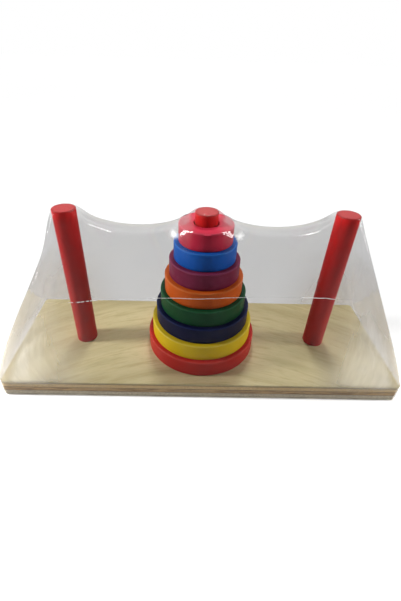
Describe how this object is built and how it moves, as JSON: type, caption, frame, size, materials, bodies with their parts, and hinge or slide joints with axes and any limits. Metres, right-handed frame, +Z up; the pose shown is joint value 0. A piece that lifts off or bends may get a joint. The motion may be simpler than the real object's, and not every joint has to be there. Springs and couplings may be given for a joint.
{
  "type": "tower of hanoi puzzle",
  "caption": "Stacking puzzle: a plywood base with dowel pegs, painted wooden rings of falling size on the middle peg, and a clear shrink-film hood that lifts off.",
  "frame": {"origin": "centre of the base's underside, on the table", "axes": "+X along the base towards the right peg, +Y to the back, +Z up along the pegs"},
  "size_m": [0.3058, 0.1068, 0.1323],
  "materials": {
    "ply_face": "sanded pale plywood face",
    "ply_light": "sawn light ply edge",
    "ply_brown": "sawn brown ply edge",
    "ply_tan": "sawn tan ply edge",
    "peg_paint": "red satin paint on dowel",
    "screw_steel": "zinc plated",
    "clear_film": "clear heat-shrink film",
    "paint_red": "red satin paint on wood",
    "paint_yellow": "yellow satin paint on wood",
    "paint_navy": "navy satin paint on wood",
    "paint_green": "green satin paint on wood",
    "paint_orange": "orange satin paint on wood",
    "paint_plum": "plum satin paint on wood",
    "paint_blue": "blue satin paint on wood",
    "paint_crimson": "crimson satin paint on wood"
  },
  "bodies": {
    "base": {"base_ply_1_bottom_face": "ply_face", "base_ply_2_lower": "ply_light", "base_ply_3_centre": "ply_brown", "base_ply_4_upper": "ply_tan", "base_ply_5_top_face": "ply_face", "peg_left": "peg_paint", "peg_middle": "peg_paint", "peg_right": "peg_paint", "screw_left": "screw_steel", "screw_middle": "screw_steel", "screw_right": "screw_steel"},
    "ring_1": {"ring_1_red": "paint_red"},
    "ring_2": {"ring_2_yellow": "paint_yellow"},
    "ring_3": {"ring_3_navy": "paint_navy"},
    "ring_4": {"ring_4_green": "paint_green"},
    "ring_5": {"ring_5_orange": "paint_orange"},
    "ring_6": {"ring_6_plum": "paint_plum"},
    "ring_7": {"ring_7_blue": "paint_blue"},
    "ring_8": {"ring_8_crimson": "paint_crimson"},
    "film": {"shrink_film": "clear_film"}
  },
  "joints": [
    {"name": "ring_1_lift", "type": "slide", "parent": "base", "child": "ring_1", "axis": [0, 0, 1], "range_m": [0, 0.12]},
    {"name": "ring_2_lift", "type": "slide", "parent": "ring_1", "child": "ring_2", "axis": [0, 0, 1], "range_m": [0, 0.1064]},
    {"name": "ring_3_lift", "type": "slide", "parent": "ring_2", "child": "ring_3", "axis": [0, 0, 1], "range_m": [0, 0.0928]},
    {"name": "ring_4_lift", "type": "slide", "parent": "ring_3", "child": "ring_4", "axis": [0, 0, 1], "range_m": [0, 0.0792]},
    {"name": "ring_5_lift", "type": "slide", "parent": "ring_4", "child": "ring_5", "axis": [0, 0, 1], "range_m": [0, 0.0656]},
    {"name": "ring_6_lift", "type": "slide", "parent": "ring_5", "child": "ring_6", "axis": [0, 0, 1], "range_m": [0, 0.052]},
    {"name": "ring_7_lift", "type": "slide", "parent": "ring_6", "child": "ring_7", "axis": [0, 0, 1], "range_m": [0, 0.0384]},
    {"name": "ring_8_lift", "type": "slide", "parent": "ring_7", "child": "ring_8", "axis": [0, 0, 1], "range_m": [0, 0.0248]},
    {"name": "film_lift", "type": "slide", "parent": "ring_8", "child": "film", "axis": [0, 0, 1], "range_m": [0, 0.134]}
  ]
}
